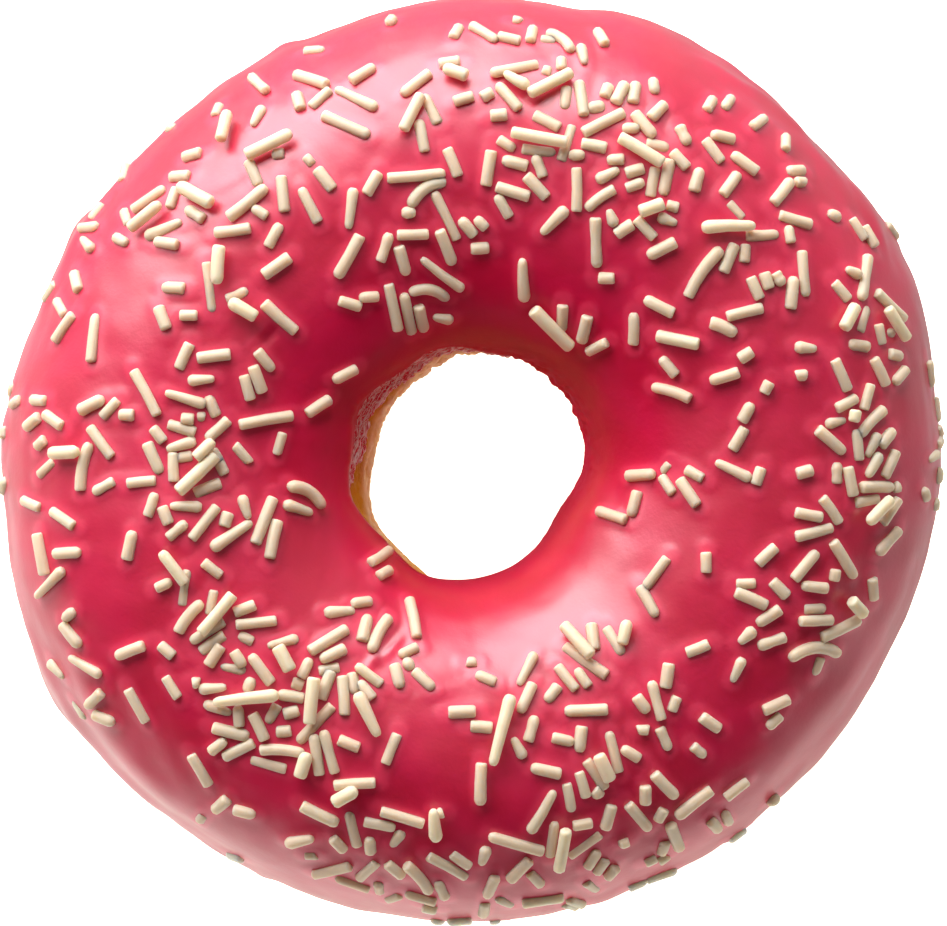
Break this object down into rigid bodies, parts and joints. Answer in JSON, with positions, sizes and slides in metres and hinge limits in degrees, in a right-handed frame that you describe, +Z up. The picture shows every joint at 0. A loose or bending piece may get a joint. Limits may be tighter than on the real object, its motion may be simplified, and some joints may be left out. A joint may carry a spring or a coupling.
{
  "type": "sprinkle frosted doughnut",
  "caption": "Ring doughnut of fried dough with a hole through it, coated over the top with pink-red icing and scattered with cream sugar sprinkles.",
  "frame": {"origin": "middle of the base: the centre, in plan, of the whole doughnut's box, on the plane it rests on", "axes": "+Z up through the hole and out of the iced side, +X and +Y across the ring"},
  "size_m": [0.0898, 0.088, 0.0326],
  "materials": {
    "dough": "matte",
    "icing": "satin",
    "sprinkles": "matte"
  },
  "bodies": {
    "root": {"dough_ring": "dough", "icing": "icing"}
  },
  "joints": []
}
